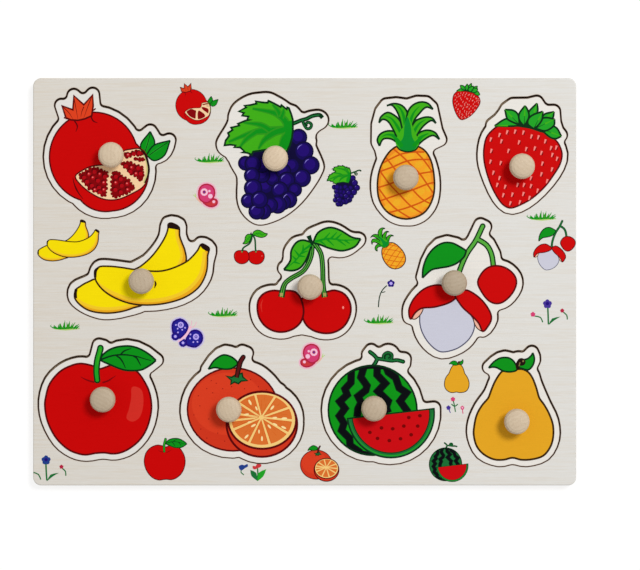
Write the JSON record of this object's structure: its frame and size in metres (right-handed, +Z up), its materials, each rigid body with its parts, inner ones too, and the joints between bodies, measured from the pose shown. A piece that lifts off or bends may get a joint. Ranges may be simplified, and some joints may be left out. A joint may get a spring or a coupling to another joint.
{
  "type": "peg puzzle",
  "caption": "Flat wooden puzzle board with fruit-shaped cut-outs and printed fruit pieces that lift out by turned wooden knobs.",
  "frame": {"origin": "underside of the board, under the middle of its outline", "axes": "+Z up through the board, out of its printed face; +X along the long side, to the right of the picture; +Y along the short side, to the top of the picture"},
  "size_m": [0.3, 0.225, 0.02],
  "materials": {
    "plain_plywood": "sanded plywood",
    "printed_sheet": "pale printed plywood with burnt cut edges",
    "turned_knob": "turned bare beech",
    "pomegranate_print": "printed plywood with burnt cut edges",
    "grapes_print": "printed plywood with burnt cut edges",
    "pineapple_print": "printed plywood with burnt cut edges",
    "strawberry_print": "printed plywood with burnt cut edges",
    "bananas_print": "printed plywood with burnt cut edges",
    "cherries_print": "printed plywood with burnt cut edges",
    "lychee_print": "printed plywood with burnt cut edges",
    "apple_print": "printed plywood with burnt cut edges",
    "orange_print": "printed plywood with burnt cut edges",
    "watermelon_print": "printed plywood with burnt cut edges",
    "pear_print": "printed plywood with burnt cut edges"
  },
  "bodies": {
    "board": {"backing_board": "plain_plywood", "face_board": "printed_sheet"},
    "pomegranate": {"pomegranate_piece": "pomegranate_print", "pomegranate_knob": "turned_knob"},
    "grapes": {"grapes_piece": "grapes_print", "grapes_knob": "turned_knob"},
    "pineapple": {"pineapple_piece": "pineapple_print", "pineapple_knob": "turned_knob"},
    "strawberry": {"strawberry_piece": "strawberry_print", "strawberry_knob": "turned_knob"},
    "bananas": {"bananas_piece": "bananas_print", "bananas_knob": "turned_knob"},
    "cherries": {"cherries_piece": "cherries_print", "cherries_knob": "turned_knob"},
    "lychee": {"lychee_piece": "lychee_print", "lychee_knob": "turned_knob"},
    "apple": {"apple_piece": "apple_print", "apple_knob": "turned_knob"},
    "orange": {"orange_piece": "orange_print", "orange_knob": "turned_knob"},
    "watermelon": {"watermelon_piece": "watermelon_print", "watermelon_knob": "turned_knob"},
    "pear": {"pear_piece": "pear_print", "pear_knob": "turned_knob"}
  },
  "joints": [
    {"name": "lift_pomegranate", "type": "slide", "parent": "board", "child": "pomegranate", "axis": [0, 0, 1], "range_m": [0, 0.03]},
    {"name": "lift_grapes", "type": "slide", "parent": "board", "child": "grapes", "axis": [0, 0, 1], "range_m": [0, 0.03]},
    {"name": "lift_pineapple", "type": "slide", "parent": "board", "child": "pineapple", "axis": [0, 0, 1], "range_m": [0, 0.03]},
    {"name": "lift_strawberry", "type": "slide", "parent": "board", "child": "strawberry", "axis": [0, 0, 1], "range_m": [0, 0.03]},
    {"name": "lift_bananas", "type": "slide", "parent": "board", "child": "bananas", "axis": [0, 0, 1], "range_m": [0, 0.03]},
    {"name": "lift_cherries", "type": "slide", "parent": "board", "child": "cherries", "axis": [0, 0, 1], "range_m": [0, 0.03]},
    {"name": "lift_lychee", "type": "slide", "parent": "board", "child": "lychee", "axis": [0, 0, 1], "range_m": [0, 0.03]},
    {"name": "lift_apple", "type": "slide", "parent": "board", "child": "apple", "axis": [0, 0, 1], "range_m": [0, 0.03]},
    {"name": "lift_orange", "type": "slide", "parent": "board", "child": "orange", "axis": [0, 0, 1], "range_m": [0, 0.03]},
    {"name": "lift_watermelon", "type": "slide", "parent": "board", "child": "watermelon", "axis": [0, 0, 1], "range_m": [0, 0.03]},
    {"name": "lift_pear", "type": "slide", "parent": "board", "child": "pear", "axis": [0, 0, 1], "range_m": [0, 0.03]}
  ]
}
